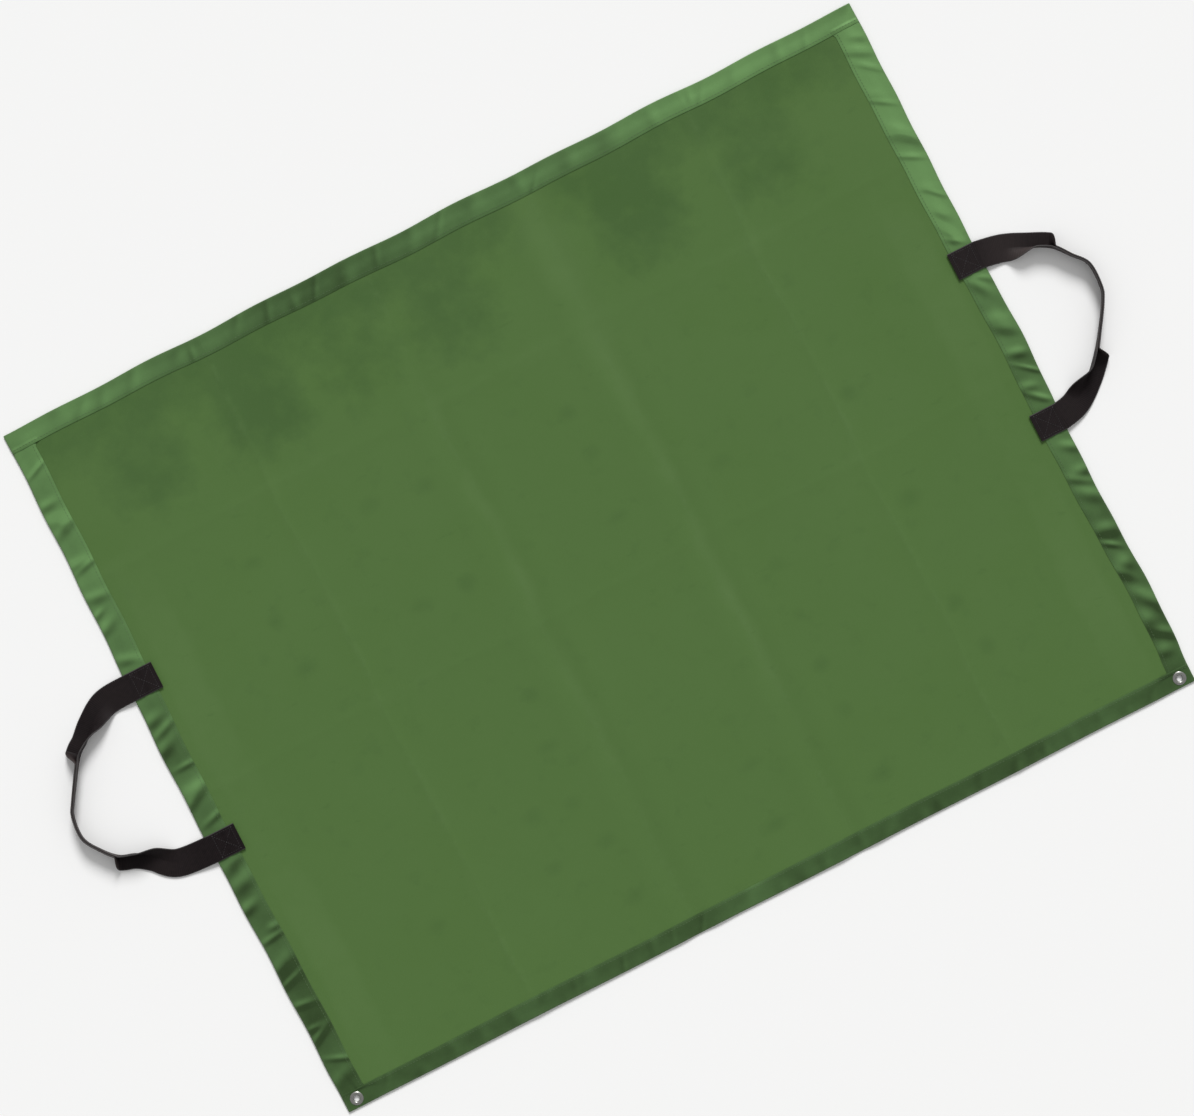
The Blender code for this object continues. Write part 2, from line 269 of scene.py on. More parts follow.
def crease_wander(y):
    """How far a crease strays to the side along its length."""
    return 0.0015 * np.sin(y * 23.0) + 0.001 * np.sin(y * 51.0 + 1.0)


def lift(x, y):
    """How far the sheet stands off the floor: slow waves, and the old creases."""
    draw = np.random.default_rng(WAVE_SEED)
    height = WAVE_COUNT * WAVE_HEIGHT
    for _ in range(WAVE_COUNT):
        heading = draw.uniform(0, math.pi)
        pace = 2 * math.pi / draw.uniform(*WAVE_LENGTHS)
        along = x * math.cos(heading) + y * math.sin(heading)
        height = height + WAVE_HEIGHT * np.sin(pace * along + draw.uniform(0, 2 * math.pi))
    wander = crease_wander(y)
    for crease in VALLEYS:
        away = np.abs(x - crease - wander)
        height = height * (1 - np.exp(-((away / VALLEY_WIDTH) ** 2)))
        height = height + SHOULDER_HEIGHT * hump(away, 1.7 * VALLEY_WIDTH, VALLEY_WIDTH)
    for crease in RIDGES:
        away = np.sqrt((x - crease - wander) ** 2 + 0.001**2)
        height = height + RIDGE_HEIGHT * np.exp(-away / RIDGE_WIDTH)
    for crease in ROW_CREASES:
        away = np.sqrt((y - crease - 0.002 * np.sin(x * 17.0)) ** 2 + 0.001**2)
        height = height + ROW_HEIGHT * np.exp(-away / ROW_WIDTH)
    return height * pressed(x, y)


def bow(x, y):
    """How far the outline stands out of true, as moves along X and Y that fade inwards."""
    left = 0.0045 * hump(y, 0.0, 0.19) + 0.0006 * np.sin(y * 67.0)
    right = 0.0038 * hump(y, 0.005, 0.075) + 0.003 * hump(y, -0.3, 0.07)
    right = right + 0.0004 * np.sin(y * 88.0 + 1.0)
    back = 0.0016 * hump(x, -0.1, 0.26) + 0.0007 * np.sin(x * 53.0) + 0.0005 * np.sin(x * 31.0)
    front = 0.0003 * np.sin(x * 29.0)
    free = pressed(x, y)
    move_x = right * ramp(x, RIGHT - BOW_FADE, RIGHT) - left * ramp(x, LEFT + BOW_FADE, LEFT)
    move_y = back * ramp(y, BACK - BOW_FADE, BACK) - front * ramp(y, FRONT + BOW_FADE, FRONT)
    return move_x * free, move_y * free


def laid(x, y, z):
    """Points of the sheet as it lies, from their flat place and height in the layers."""
    move_x, move_y = bow(x, y)
    return np.stack([x + move_x, y + move_y, z + lift(x, y)], axis=-1)


def steps(low, high, coarse, fine=None, places=(), reach=CREASE_REACH):
    """Places from low to high, coarse apart, and fine apart near some of them."""
    run = np.linspace(low, high, 3001)
    spacing = np.full(run.shape, coarse)
    for place in places:
        near = np.clip(np.abs(run - place) / reach - 1, 0, 1)
        spacing = np.minimum(spacing, fine + (coarse - fine) * near)
    count = np.concatenate([[0.0], np.cumsum(np.diff(run) / spacing[1:])])
    total = max(1, math.ceil(count[-1]))
    return np.interp(np.linspace(0, count[-1], total + 1), count, run)


def across_y(low, high):
    """Places from front to back, closer together at the faint rows."""
    return steps(low, high, ROW_STEP, ROW_FINE_STEP, ROW_CREASES, ROW_REACH)


def turned_in(edge, inwards):
    """Places round the turned edge, from the outline inwards along an axis."""
    angle = np.linspace(0, math.pi / 2, TURN_STEPS + 1)
    return edge + inwards * TURN * (1 - np.cos(angle))


def along_x(length, coarse):
    """Places along a length of the sheet, with its crease and any turned end."""
    low = length.low + (TURN if length.low == LEFT else 0)
    high = length.high - (TURN if length.high == RIGHT else 0)
    places = steps(low, high, coarse, CREASE_STEP, [length.crease])
    if length.low == LEFT:
        places = np.concatenate([turned_in(LEFT, 1)[:-1], places])
    if length.high == RIGHT:
        places = np.concatenate([places, turned_in(RIGHT, -1)[-2::-1]])
    return places


def turned_edge(x, y, face):
    """The middle of the turn under each point of the cloth, and the way out from it.

    face is 1 for the upper ply and -1 for the lower one. Corners come out round.
    """
    middle_x = np.clip(x, LEFT + TURN, RIGHT - TURN)
    middle_y = np.clip(y, FRONT + TURN, BACK - TURN)
    out_x = (x - middle_x) / TURN
    out_y = (y - middle_y) / TURN
    reach = np.maximum(np.abs(out_x), np.abs(out_y))
    slant = np.hypot(out_x, out_y)
    share = np.divide(reach, slant, out=np.ones_like(reach), where=slant > 1e-9)
    out_z = face * np.sqrt(np.clip(1 - reach**2, 0, 1))
    middle = np.stack([middle_x, middle_y, np.full_like(middle_x, TURN)], axis=-1)
    return middle, np.stack([out_x * share, out_y * share, out_z], axis=-1)


def new_piece(name, points, faces, finish, sharp):
    """A closed shell of quads, its faces outwards, smooth but for its sharp edges."""
    mesh = bpy.data.meshes.new(name)
    mesh.from_pydata(points.reshape(-1, 3).tolist(), [], faces.reshape(-1, 4).tolist())
    shell = bmesh.new()
    shell.from_mesh(mesh)
    bmesh.ops.recalc_face_normals(shell, faces=shell.faces)
    shell.to_mesh(mesh)
    shell.free()
    mesh.materials.append(finish)
    mesh.shade_smooth()
    mesh.set_sharp_from_angle(angle=sharp)
    return new_object(name, mesh)


def closed_cloth(name, first, second, flat, finish, marks):
    """A closed sheet between two grids of points, with its flat place as its UV map."""
    rows, columns = first.shape[:2]
    count = rows * columns
    index = np.arange(count).reshape(rows, columns)
    quads = np.stack([index[:-1, :-1], index[1:, :-1], index[1:, 1:], index[:-1, 1:]], -1)
    quads = quads.reshape(-1, 4)
    rim = np.concatenate([index[0, :-1], index[:-1, -1], index[-1, :0:-1], index[:0:-1, 0]])
    after = np.roll(rim, -1)
    border = np.stack([rim, after, after + count, rim + count], -1)
    faces = np.concatenate([quads, quads[:, ::-1] + count, border])
    points = np.concatenate([first.reshape(-1, 3), second.reshape(-1, 3)])
    piece = new_piece(name, points, faces, finish, CLOTH_SHARP)
    mesh = piece.data
    corner = np.empty(len(mesh.loops), np.int32)
    mesh.loops.foreach_get("vertex_index", corner)
    flat_points = np.tile(flat.reshape(-1, 2), (2, 1))
    mesh.uv_layers.new(name="flat").data.foreach_set("uv", flat_points[corner].ravel())
    for mark, values in marks.items():
        attribute = mesh.attributes.new(mark, "FLOAT", "POINT")
        attribute.data.foreach_set("value", np.tile(values.ravel(), 2).astype(np.float32))
    return piece


def edge_mark(x, y):
    """1 on the outline, where the turned edge rubs, and 0 a few millimetres in."""
    inside = np.minimum.reduce([x - LEFT, RIGHT - x, y - FRONT, BACK - y])
    return 1 - ramp(inside, 0.0, EDGE_WEAR)


def painted_sheen(x, y):
    """Painted sheen and shade on the satin: lightest at the back and the right, darkest at the front.
    """
    back = 0.55 + 0.22 * hump(x, -0.5, 0.16) - 0.35 * hump(x, -0.14, 0.165)
    back = back + 0.40 * hump(x, 0.37, 0.13) - 0.1 * hump(x, 0.17, 0.05)
    front = 0.19 + 0.05 * np.sin(x * 19.0) + 0.22 * hump(x, -0.02, 0.03)
    right = 0.46 + 0.62 * ramp(y, -0.02, 0.26) - 0.24 * ramp(y, -0.02, -0.34)
    left = 0.42 + 0.34 * ramp(y, 0.0, 0.24) - 0.28 * ramp(y, -0.1, -0.28)
    patches = np.sin(y * 71.0 + 0.4) * np.sin(y * 29.0 + x * 3.0)
    right = right + 0.13 * patches
    left = left + 0.11 * patches
    near = [BACK - y, y - FRONT, RIGHT - x, x - LEFT]
    shares = [1 / (np.maximum(gap, 0.002) ** 3) for gap in near]
    total = sum(shares)
    sides = (back, front, right, left)
    return sum(share * side for share, side in zip(shares, sides)) / total


def new_group(name, setting, value, outputs):
    """A shader node group that reads a place and one number."""
    group = bpy.data.node_groups.new(name, "ShaderNodeTree")
    group.interface.new_socket("Place", in_out="INPUT", socket_type="NodeSocketVector")
    number = group.interface.new_socket(setting, in_out="INPUT", socket_type="NodeSocketFloat")
    number.default_value = value
    for label in outputs:
        group.interface.new_socket(label, in_out="OUTPUT", socket_type="NodeSocketFloat")
    return group, group.nodes.new("NodeGroupInput"), group.nodes.new("NodeGroupOutput")


def sums(operation, *values):
    """The output of one Math node. The first value is a socket, here and in what follows."""
    tree = values[0].id_data
    return add_node(tree, "ShaderNodeMath", dict(enumerate(values)), operation=operation).outputs[0]


def times(first, second):
    return sums("MULTIPLY", first, second)


def mixed(share, first, second):
    """The colour that lies a share of the way from the first to the second."""
    sockets = {0: share, 6: first, 7: second}
    return add_node(share.id_data, "ShaderNodeMix", sockets, data_type="RGBA").outputs[2]


def spread(value, low, high, to_low=0.0, to_high=1.0):
    """A value mapped from one range to another and held inside it."""
    sockets = {"Value": value, "From Min": low, "From Max": high, "To Min": to_low, "To Max": to_high}
    return add_node(value.id_data, "ShaderNodeMapRange", sockets).outputs["Result"]


def cloudy(place, scale, detail=3.0, roughness=0.55):
    """The value of a noise texture, which is coarse or fine by its scale."""
    sockets = {"Vector": place, "Scale": scale, "Detail": detail, "Roughness": roughness}
    return add_node(place.id_data, "ShaderNodeTexNoise", sockets).outputs[0]


def toned(colour, tone):
    """A colour made darker or brighter."""
    sockets = {0: colour, "Scale": tone}
    return add_node(colour.id_data, "ShaderNodeVectorMath", sockets, operation="SCALE").outputs[0]


def bumped(height, strength, distance):
    """The normal of a surface with a fine relief."""
    sockets = {"Strength": strength, "Distance": distance, "Height": height}
    return add_node(height.id_data, "ShaderNodeBump", sockets).outputs[0]


def flat_place(tree):
    """The cloth's own flat place in metres, so that a pattern bends with the cloth."""
    return add_node(tree, "ShaderNodeUVMap", {}, uv_map="flat").outputs["UV"]


def mark_value(tree, name):
    return add_node(tree, "ShaderNodeAttribute", {}, attribute_name=name).outputs["Fac"]


# Plain weave: warp and weft threads that pass over each other by turns
weave, weave_in, weave_out = new_group(
    "plain_weave", "Threads per metre", 1600.0, ["Height", "Warp on top"]
)
axes = add_node(weave, "ShaderNodeSeparateXYZ", {0: weave_in.outputs["Place"]})
warp_turn, weft_turn = (
    times(axis, weave_in.outputs["Threads per metre"]) for axis in axes.outputs[:2]
)
crossing = sums("ADD", sums("FLOOR", warp_turn), sums("FLOOR", weft_turn))
over = times(sums("FRACT", times(crossing, 0.5)), 2.0)
warp_round, weft_round = (
    sums("ABSOLUTE", sums("SINE", times(turn, math.pi)))
    for turn in (warp_turn, weft_turn)
)
pillow = sums("POWER", times(warp_round, weft_round), 0.5)
warp_lean = sums("MULTIPLY_ADD", over, 0.25, 0.75)
fill(weave, weave_out, {"Height": times(pillow, warp_lean), "Warp on top": over})

# Use: soft blotches, small scuffs and a little dust
wear, wear_in, wear_out = new_group(
    "cloth_wear", "Blotch scale", 11.0, ["Blotches", "Scuffs", "Dust"]
)
place = wear_in.outputs["Place"]
blotch = cloudy(place, wear_in.outputs["Blotch scale"], 4.0, 0.5)
slanted = {"Vector": place, "Scale": (1.0, 2.6, 1.0), "Rotation": (0, 0, 0.6)}
stretched = add_node(wear, "ShaderNodeMapping", slanted).outputs[0]
scuff = cloudy(stretched, 34.0, 5.0, 0.6)
speck = cloudy(place, 900.0, 2.0, 0.5)
fill(wear, wear_out, {
    "Blotches": spread(blotch, 0.46, 0.62),
    "Scuffs": spread(scuff, 0.64, 0.72),
    "Dust": spread(speck, 0.6, 0.8),
})


def weave_node(place, threads):
    sockets = {"Place": place, "Threads per metre": threads}
    return add_node(place.id_data, "ShaderNodeGroup", sockets, node_tree=weave).outputs


def wear_node(place, scale):
    sockets = {"Place": place, "Blotch scale": scale}
    return add_node(place.id_data, "ShaderNodeGroup", sockets, node_tree=wear).outputs


# The deep and bright satin colours are a shaded and a lit copy of one cloth: painted shade and
# painted sheen.
SATIN_PAINTED_SHADE = (0.027, 0.048, 0.017, 1)
SATIN_PAINTED_SHEEN = (0.126, 0.247, 0.087, 1)
SATIN_RUBBED = (0.09, 0.13, 0.07, 1)
SATIN_DUST = (0.3, 0.32, 0.26, 1)
SATIN_THREADS = 1500.0  # threads per metre

satin, tree, shader = new_finish("satin_cloth")
place = flat_place(tree)
threads = weave_node(place, SATIN_THREADS)
used = wear_node(place, 16.0)
drift = spread(cloudy(place, 24.0, 3.0), 0.3, 0.7, -0.1, 0.1)
# Painted sheen: the base colour goes from the shaded to the lit satin as the painted sheen mark
# rises, with a little random drift.
lights = {0: mark_value(tree, "painted_sheen"), 1: drift}
painted_sheen_level = add_node(tree, "ShaderNodeMath", lights, operation="ADD", use_clamp=True).outputs[0]
thread_tone = spread(threads["Warp on top"], 0.0, 1.0, 0.93, 1.04)
tone = toned(mixed(painted_sheen_level, SATIN_PAINTED_SHADE, SATIN_PAINTED_SHEEN), thread_tone)
patchy = spread(cloudy(place, 160.0), 0.4, 0.65, 0.1, 0.6)
tone = mixed(times(mark_value(tree, "edge"), patchy), tone, SATIN_RUBBED)
fine_wrinkle = times(cloudy(place, 140.0, 3.0), 3.0)
height = sums("ADD", fine_wrinkle, threads["Height"])
fill(tree, shader, {
    "Base Color": mixed(times(used["Dust"], 0.1), tone, SATIN_DUST),
    "Roughness": spread(used["Blotches"], 0.0, 1.0, 0.4, 0.5),
    "Normal": bumped(height, 0.6, 0.00006),
    "Specular IOR Level": 0.5,
    "Specular Tint": (0.45, 0.85, 0.35, 1),
    "Sheen Weight": 0.08,
    "Sheen Roughness": 0.35,
    "Sheen Tint": (0.5, 0.8, 0.4, 1),
})


def punch(piece, centre, radius):
    """Cut an eyelet's round hole in a piece of cloth."""
    bpy.ops.mesh.primitive_cylinder_add(
        vertices=HOLE_SIDES, radius=radius, depth=PUNCH_DEPTH, location=(centre.x, centre.y, 0)
    )
    punch_tool = bpy.context.object
    cut = piece.modifiers.new("hole", "BOOLEAN")
    cut.operation = "DIFFERENCE"
    cut.object = punch_tool
    graph = bpy.context.evaluated_depsgraph_get()
    mesh = bpy.data.meshes.new_from_object(piece.evaluated_get(graph))
    piece.modifiers.remove(cut)
    piece.data = mesh
    mesh.name = piece.name
    bpy.data.objects.remove(punch_tool, do_unlink=True)


for length in LENGTHS:
    run = along_x(length, CLOTH_STEP)
    inside = across_y(FRONT + TURN, BACK - TURN)
    rise = np.concatenate([turned_in(FRONT, 1)[:-1], inside, turned_in(BACK, -1)[-2::-1]])
    x, y = np.meshgrid(run, rise, indexing="ij")
    middle, outwards = turned_edge(x, y, -1)
    skin = middle + TURN * outwards
    lining = middle + (TURN - CLOTH) * outwards
    ground = closed_cloth(
        "ground_sheet_" + length.name,
        laid(*np.moveaxis(skin, -1, 0)),
        laid(*np.moveaxis(lining, -1, 0)),
        np.stack([x, y], axis=-1),
        satin,
        {"painted_sheen": GROUND_PAINTED_SHEEN * np.ones_like(x), "edge": edge_mark(x, y)},
    )
    for eyelet in EYELETS:
        if length.low < eyelet.x < length.high:
            punch(ground, eyelet, FLANGE + HOLE_CLEAR)
    length.ground = ground
    length.bend(ground, "ground_cloth", "ground_sheet")


# ------------------------------------------------------- liner
# The top layer: the same nylon with its matte coated face up. It stops 18 mm short of the
# outline, lies loose on the ground sheet and is held by the hems that lap over its edges.
LINER_GREEN = (0.080, 0.158, 0.0415, 1)
LINER_DARK = (0.057, 0.120, 0.032, 1)
LINER_PALE = (0.094, 0.176, 0.052, 1)
COATING_CRACKED = (0.115, 0.200, 0.075, 1)
LINER_DUST = (0.26, 0.28, 0.22, 1)
LINER_THREADS = 1300.0
BACK_SHADE_PLACES = (-0.38, -0.245, -0.13, -0.02, 0.2, 0.345)  # where tongues of painted shade hang down at the back
BACK_SHADE_STRENGTHS = (0.8, 1.0, 0.5, 0.8, 1.0, 0.75)
BACK_SHADE_HALF = 0.048
BACK_SHADE_REACH = 0.175
SMUDGE_COLUMNS = (-0.33, -0.19, -0.13, 0.04, 0.16, 0.32)
SMUDGE_ROWS = (0.155, 0.10, 0.035, -0.09, -0.15, -0.21, -0.265, -0.34)
SMUDGE_SEED = 21

liner_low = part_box("liner_outer_left")[0]
liner_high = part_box("liner_outer_right")[1]
MARGIN = liner_low.x - LEFT


def crease_mark(x, y):
    """1 along the creases, where the coating has cracked, broken up along their length."""
    broken = 0.62 + 0.25 * np.sin(y * 37.0 + 0.7) + 0.13 * np.sin(y * 113.0)
    creases = [crease + crease_wander(y) for crease in RIDGES + VALLEYS]
    return np.maximum.reduce([broken * hump(x, crease, 0.0035) for crease in creases])


def pale_band_mark(x, y):
    """1 in paler bands: painted highlight along the creases and rows, and bands in from the side hems
    at the back.
    """
    wander = 0.003 * np.sin(y * 31.0) + 0.002 * np.sin(y * 83.0 + 1.0)
    patchy = 0.42 + 0.34 * np.sin(y * 43.0 + 0.5) * np.sin(y * 17.0 + 2.0)
    narrow = patchy * hump(x, VALLEYS[0] + wander, 0.010)
    narrow = narrow * ramp(y, -0.25, -0.12) * ramp(y, 0.26, 0.2)
    broad_half = 0.010 + 0.018 * ramp(y, 0.08, 0.36)
    broad = hump(x, VALLEYS[1] + 0.6 * wander, broad_half) * ramp(y, -0.24, -0.18)
    broad = 0.68 * broad * (1 - 0.85 * hump(y, 0.015, 0.02)) * (0.85 + 0.15 * np.sin(y * 47.0))
    ridges = 0.18 * sum(hump(x, crease + wander, 0.007) for crease in RIDGES)
    rows = 0.28 * hump(y, ROW_CREASES[0], 0.014) + 0.2 * hump(y, ROW_CREASES[1], 0.008)
    rows = rows * (0.6 + 0.4 * np.sin(x * 23.0 + 1.0))
    from_side = np.minimum(x - LEFT, RIGHT - x) + 0.5 * wander
    border = ramp(from_side, 0.030, 0.042) * ramp(from_side, 0.085, 0.068)
    border = 0.55 * border * ramp(y, BACK - 0.12, BACK - 0.24) * (0.7 + 0.3 * np.sin(y * 19.0))
    return np.clip(narrow + broad + ridges + rows + border, 0, 1)


def back_shade_mark(x, y):
    """Painted shade: 1 in tongues hanging from the back hem and in a band below it, 0 elsewhere."""
    drop = BACK - y
    fade = ramp(drop, BACK_SHADE_REACH, BACK_SHADE_REACH - 0.07)
    tongues = [
        strength * np.exp(-(((x - place) / BACK_SHADE_HALF) ** 4)) * fade
        for place, strength in zip(BACK_SHADE_PLACES, BACK_SHADE_STRENGTHS)
    ]
    between = 0.85 * ramp(drop, 0.09, 0.035) * (1 - 0.7 * hump(x, VALLEYS[1], 0.03))
    return np.maximum(np.maximum.reduce(tongues), between)


def smudge_mark(x, y):
    """Small dark rubs where the folded layers pressed on each other, column by column."""
    draw = np.random.default_rng(SMUDGE_SEED)
    mark = np.zeros(np.shape(x))
    for column in SMUDGE_COLUMNS:
        for row in SMUDGE_ROWS:
            at_x = column + draw.normal(0, 0.004)
            at_y = row + draw.normal(0, 0.004)
            long_way = draw.uniform(0.009, 0.015)
            away = np.hypot((x - at_x) / long_way, (y - at_y) / draw.uniform(0.007, 0.011))
            mark = mark + draw.uniform(0.25, 1.0) * np.exp(-(away**2))
    return np.clip(mark, 0, 1)


liner_finish, tree, shader = new_finish("matte_liner_cloth")
place = flat_place(tree)
used = wear_node(place, 9.0)
threads = weave_node(place, LINER_THREADS)
ragged = spread(cloudy(place, 38.0, 5.0, 0.6), 0.3, 0.7, -0.32, 0.32)
# Painted shade at the back of the liner, where the cloth tilts away from the light, with a ragged
# edge.
back_shade_edge = sums("ADD", mark_value(tree, "back_shade"), ragged)
back_shade = spread(back_shade_edge, 0.12, 0.95, 0.0, 0.92)
colour = mixed(back_shade, LINER_GREEN, LINER_DARK)
# Painted highlight: the liner is paler along its creases and rows, where they catch the light.
pale_band_edge = sums("MULTIPLY_ADD", ragged, 0.45, mark_value(tree, "pale_bands"))
colour = mixed(spread(pale_band_edge, 0.12, 0.9), colour, LINER_PALE)
drift = spread(cloudy(place, 5.0, 4.0), 0.3, 0.7, 0.0, 0.22)
colour = mixed(drift, colour, LINER_PALE)
smudge_edge = sums("MULTIPLY_ADD", ragged, 0.5, mark_value(tree, "smudge"))
colour = mixed(spread(smudge_edge, 0.15, 0.9, 0.0, 0.42), colour, LINER_DARK)
colour = mixed(times(used["Scuffs"], 0.25), colour, LINER_DARK)
crackle = spread(cloudy(place, 120.0, 6.0, 0.7), 0.42, 0.62)
cracked = times(mark_value(tree, "crease"), crackle)
colour = mixed(times(cracked, 0.22), colour, COATING_CRACKED)
colour = toned(colour, spread(threads["Warp on top"], 0.0, 1.0, 0.97, 1.03))
rough = spread(used["Blotches"], 0.0, 1.0, 0.68, 0.8)
shallow = times(threads["Height"], 1.6)
pebble = times(cloudy(place, 420.0, 3.0), 0.8)
swell = times(cloudy(place, 26.0, 3.0), 5.0)
height = sums("ADD", sums("ADD", shallow, pebble), swell)
height = sums("MULTIPLY_ADD", cracked, 1.5, height)
fill(tree, shader, {
    "Base Color": mixed(times(used["Dust"], 0.1), colour, LINER_DUST),
    "Roughness": sums("MULTIPLY_ADD", cracked, 0.12, rough),
    "Normal": bumped(height, 0.75, 0.00008),
    "Specular IOR Level": 0.16,
})

for length in LENGTHS:
    low = max(length.low, liner_low.x)
    high = min(length.high, liner_high.x)
    run = steps(low, high, CLOTH_STEP, CREASE_STEP, [length.crease])
    x, y = np.meshgrid(run, across_y(liner_low.y, liner_high.y), indexing="ij")
    length.liner = closed_cloth(
        "liner_" + length.name,
        laid(x, y, liner_high.z),
        laid(x, y, liner_low.z),
        np.stack([x, y], axis=-1),
        liner_finish,
        {
            "crease": crease_mark(x, y),
            "pale_bands": pale_band_mark(x, y),
            "back_shade": back_shade_mark(x, y),
            "smudge": smudge_mark(x, y),
        },
    )
    length.bend(length.liner, "liner_cloth", "liner")


# -------------------------------------------------------- hems
# The satin cloth turned over its own edge, laid over the liner and sewn down. The side
# hems are turned first and tuck under the long back and front hems at the corners.
# The sewing and the handles' pull pucker them.
HEM_STEP_UP = 0.00092  # rise over the liner's edge
EDGE_THINNED = 0.00045  # how much the sewn inner edge is pressed thinner
TUCK_RISE = 0.00085  # rise of the long hems over a tucked side hem
TUCK = 0.003
TUCK_INSET = 0.0012
STRAP_ENDS = {
    side: ["strap_end_" + side + "_back", "strap_end_" + side + "_front"]
    for side in ("left", "right")
}
strap_low, strap_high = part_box("strap_end_left_back")
STRAP_Y = sorted(round((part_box(n)[0].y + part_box(n)[1].y) / 2, 5) for n in STRAP_ENDS["left"])
STRAP_HALF = (strap_high.y - strap_low.y) / 2
BACK_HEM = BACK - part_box("back_hem_centre")[0].y
FRONT_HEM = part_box("front_hem_centre")[1].y - FRONT - 0.0024
SIDE_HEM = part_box("side_hem_left")[1].x - LEFT
BARREL = 0.0039  # outside radius of an eyelet's barrel
HEM_TOP = 2 * TURN
HEM_COLUMNS = 16
HEM_STEP = 0.0022
SIDE_HEM_STEP = 0.0017


def hem_width(side, along):
    """Hems are turned by eye, so their width wanders a little along the edge."""
    along = np.asarray(along, float)
    if side == "back":
        return BACK_HEM - 0.0022 + 0.0042 * hump(along, 0.05, 0.3)
    if side == "front":
        return FRONT_HEM + 0.0004 * np.sin(along * 17.0)
    if side == "right":
        return SIDE_HEM + 0.003 * ramp(along, 0.0, 0.35) - 0.0035 * ramp(along, 0.0, -0.33)
    return SIDE_HEM - 0.0008 + 0.0006 * np.sin(along * 13.0)


def puckers(seed, spacing, lean, height, low, high):
    """Small folds across a hem: place along it, lean, half width, height, middle, reach."""
    draw = np.random.default_rng(seed)
    count = round((high - low) / spacing)
    places = low + (np.arange(count) + draw.uniform(0.1, 0.9, count)) * (high - low) / count
    leans = np.tan(lean + draw.normal(0, 0.22, count))
    halves = 0.0032 + 0.0075 * draw.uniform(0, 1, count) ** 1.4
    heights = height * draw.uniform(0.3, 1.0, count)
    middles = draw.uniform(0.1, 0.9, count)
    reaches = draw.uniform(0.3, 0.8, count)
    return list(zip(places, leans, halves, heights, middles, reaches))


PUCKERS = {
    "left": puckers(3, 0.023, 0.25, 0.0017, FRONT, BACK),
    "right": puckers(5, 0.022, 0.5, 0.0018, FRONT, BACK),
    "back": puckers(7, 0.036, -0.35, 0.00055, LEFT, RIGHT),
    "front": puckers(9, 0.034, 0.3, 0.00045, LEFT, RIGHT),
}
# How strongly the puckers are painted: painted highlight on flanks turned to the light, painted shade
# on flanks turned away.
PUCKER_PAINTED_SHADING = {"left": 0.34, "right": 0.36, "back": 0.12, "front": 0.07}


def hem_place(side, along, inwards):
    """Flat X and Y of a place on a hem."""
    along, inwards = np.broadcast_arrays(along, inwards)
    if side == "back":
        return along, BACK - inwards
    if side == "front":
        return along, FRONT + inwards
    if side == "left":
        return LEFT + inwards, along
    return RIGHT - inwards, along


def from_edges(x, y):
    """Distances in from the nearer side edge and from the nearer of the front and back."""
    return np.minimum(x - LEFT, RIGHT - x), np.minimum(y - FRONT, BACK - y)


def share_in(side, along, inwards):
    return inwards / hem_width(side, along)


def folds(side, x, y, along, inwards):
    """Height of the puckers, and how far each flank turns to the light (1) or away (-1)."""
    share = np.clip(share_in(side, along, inwards), 0, 1)
    height = 0
    facing = 0
    for place, lean, half, tall, middle, reach in PUCKERS[side]:
        off = (along - place - lean * inwards) / half
        here = np.exp(-(off**2)) * np.exp(-(((share - middle) / reach) ** 2))
        height = height + tall * here
        facing = facing + 2.3 * off * here
    gap_x, gap_y = from_edges(x, y)
    free = pressed(x, y)
    if side in ("back", "front"):
        free = free * ramp(gap_x, 0.02, 0.04)
    else:
        long_side = np.where(y > 0, BACK_HEM, FRONT_HEM)
        free = free * ramp(gap_y, long_side, long_side + 0.02)
        for strap in STRAP_Y:
            free = free * ramp(np.abs(y - strap), STRAP_HALF + 0.001, STRAP_HALF + 0.009)
    most = max(pucker[3] for pucker in PUCKERS[side])
    height = most * np.tanh(height / most)
    fade = np.sin(math.pi * share**0.8) ** 0.7
    return height * fade * free, np.clip(facing, -1.2, 1.2) * free


def hem_rise(side, x, y, along, inwards):
    """What a hem adds to its height: the liner's edge, a tucked hem, its puckers."""
    gap_x, gap_y = from_edges(x, y)
    start = MARGIN - 0.0015 - 0.0105 * pressed(x, y)
    on_liner = ramp(gap_x, start, MARGIN - 0.0002) * ramp(gap_y, start, MARGIN - 0.0002)
    rise = HEM_STEP_UP * on_liner
    ridges = folds(side, x, y, along, inwards)[0]
    if side in ("back", "front"):
        tucked = ramp(gap_y, 0.0165, 0.0187) * ramp(gap_x, SIDE_HEM + 0.006, SIDE_HEM + 0.002)
        rise = rise + TUCK_RISE * tucked * ramp(gap_x, 0, 0.0015)
    return rise + ridges


def hem_points(side, along, inwards, depth):
    """Points of a hem, a depth under its outer skin."""
    x, y = hem_place(side, along, inwards)
    middle, outwards = turned_edge(x, y, 1)
    px, py, pz = np.moveaxis(middle + (TURN - depth) * outwards, -1, 0)
    pz = pz - EDGE_THINNED * (1 - depth / CLOTH) * ramp(share_in(side, along, inwards), 0.9, 1.0)
    if side in ("left", "right"):
        long_side = np.where(y > 0, BACK_HEM, FRONT_HEM)
        under = ramp(from_edges(x, y)[1], long_side + 0.002, long_side - 0.001)
        px = px - np.sign(px) * TUCK_INSET * under
    return laid(px, py, pz + hem_rise(side, x, y, *np.broadcast_arrays(along, inwards)))


